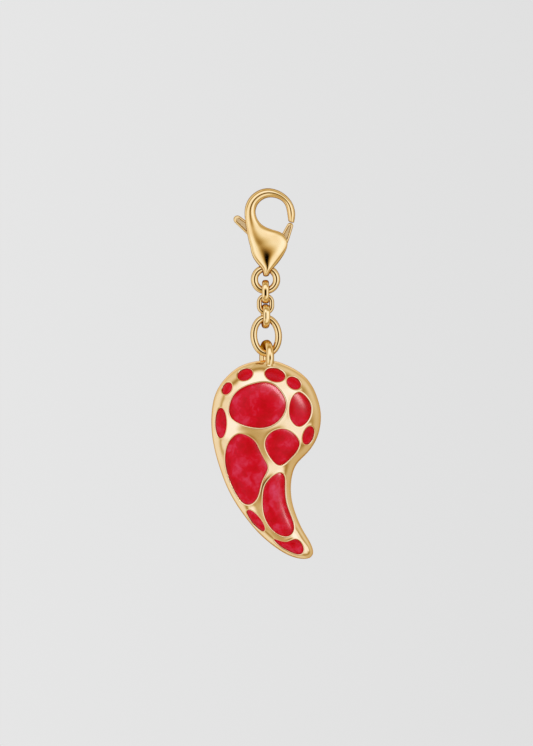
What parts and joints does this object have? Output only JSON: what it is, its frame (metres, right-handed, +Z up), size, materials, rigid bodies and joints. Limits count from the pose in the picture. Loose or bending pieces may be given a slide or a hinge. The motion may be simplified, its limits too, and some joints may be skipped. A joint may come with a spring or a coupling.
{
  "type": "chili pepper charm",
  "caption": "Polished gold pepper pendant with glossy red inlays, hung by its bail from a short link chain on a lobster clasp.",
  "frame": {"origin": "inside top of the clasp's hook, where the charm hangs, on the middle plane from front to back", "axes": "+Z up along the hanging charm, -Y towards the front with the red inlays, +X to the right seen from the front"},
  "size_m": [0.0155, 0.0065, 0.0521],
  "materials": {
    "gold": "mirror-polished 18 ct yellow gold",
    "red_inlay": "polished opaque red stone or enamel with faint lighter clouds"
  },
  "bodies": {
    "clasp_and_chain": {"clasp_body": "gold", "lever_pin": "gold", "top_ring": "gold", "link_upper": "gold", "link_middle": "gold", "link_lower": "gold", "oval_link": "gold"},
    "lever": {"clasp_lever": "gold"},
    "pepper": {"pendant_body": "gold", "inlay_1": "red_inlay", "inlay_2": "red_inlay", "inlay_3": "red_inlay", "inlay_4": "red_inlay", "inlay_5": "red_inlay", "inlay_6": "red_inlay", "inlay_7": "red_inlay", "inlay_8": "red_inlay", "inlay_9": "red_inlay", "inlay_10": "red_inlay", "inlay_11": "red_inlay", "inlay_12": "red_inlay", "inlay_13": "red_inlay"}
  },
  "joints": [
    {"name": "lever_opening", "type": "hinge", "parent": "clasp_and_chain", "child": "lever", "pos_m": [0.0014, 0, -0.00693], "axis": [0, -1, 0], "range_deg": [0, 32], "stiffness_Nm_per_rad": 0.001, "springref_deg": -5.73},
    {"name": "pepper_swing", "type": "hinge", "parent": "clasp_and_chain", "child": "pepper", "pos_m": [-0.00038, 0, -0.02189], "axis": [1, 0, 0], "range_deg": [-90, 90]}
  ]
}
